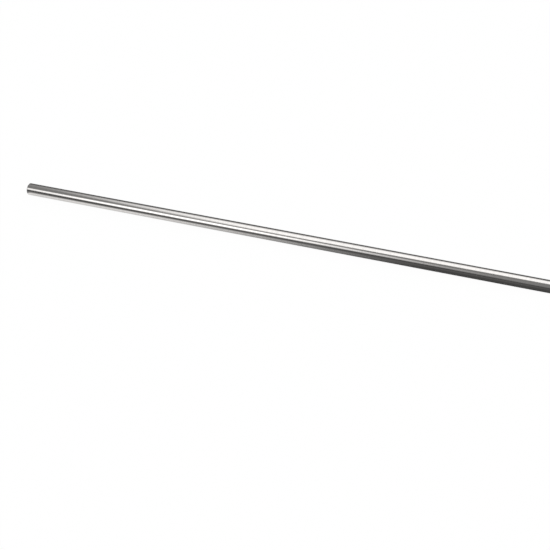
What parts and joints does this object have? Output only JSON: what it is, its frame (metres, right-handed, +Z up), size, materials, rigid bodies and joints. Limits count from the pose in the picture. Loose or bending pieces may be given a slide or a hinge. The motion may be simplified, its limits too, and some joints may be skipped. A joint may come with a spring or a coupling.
{
  "type": "idler shaft",
  "caption": "Plain round shaft of ground stainless steel bar, chamfered at both ends, that carries idler rollers, sprockets or bearings in a conveyor.",
  "frame": {"origin": "on the shaft's axis, half way along its length", "axes": "+X along the shaft's axis, from the end that the picture shows towards the end that it cuts off; +Z up as the shaft lies on a level surface; +Y away from the side that the picture shows"},
  "size_m": [0.6096, 0.0126, 0.0126],
  "materials": {
    "ground_steel": "centreless ground and lightly polished stainless steel"
  },
  "bodies": {
    "root": {"shaft": "ground_steel"}
  },
  "joints": []
}
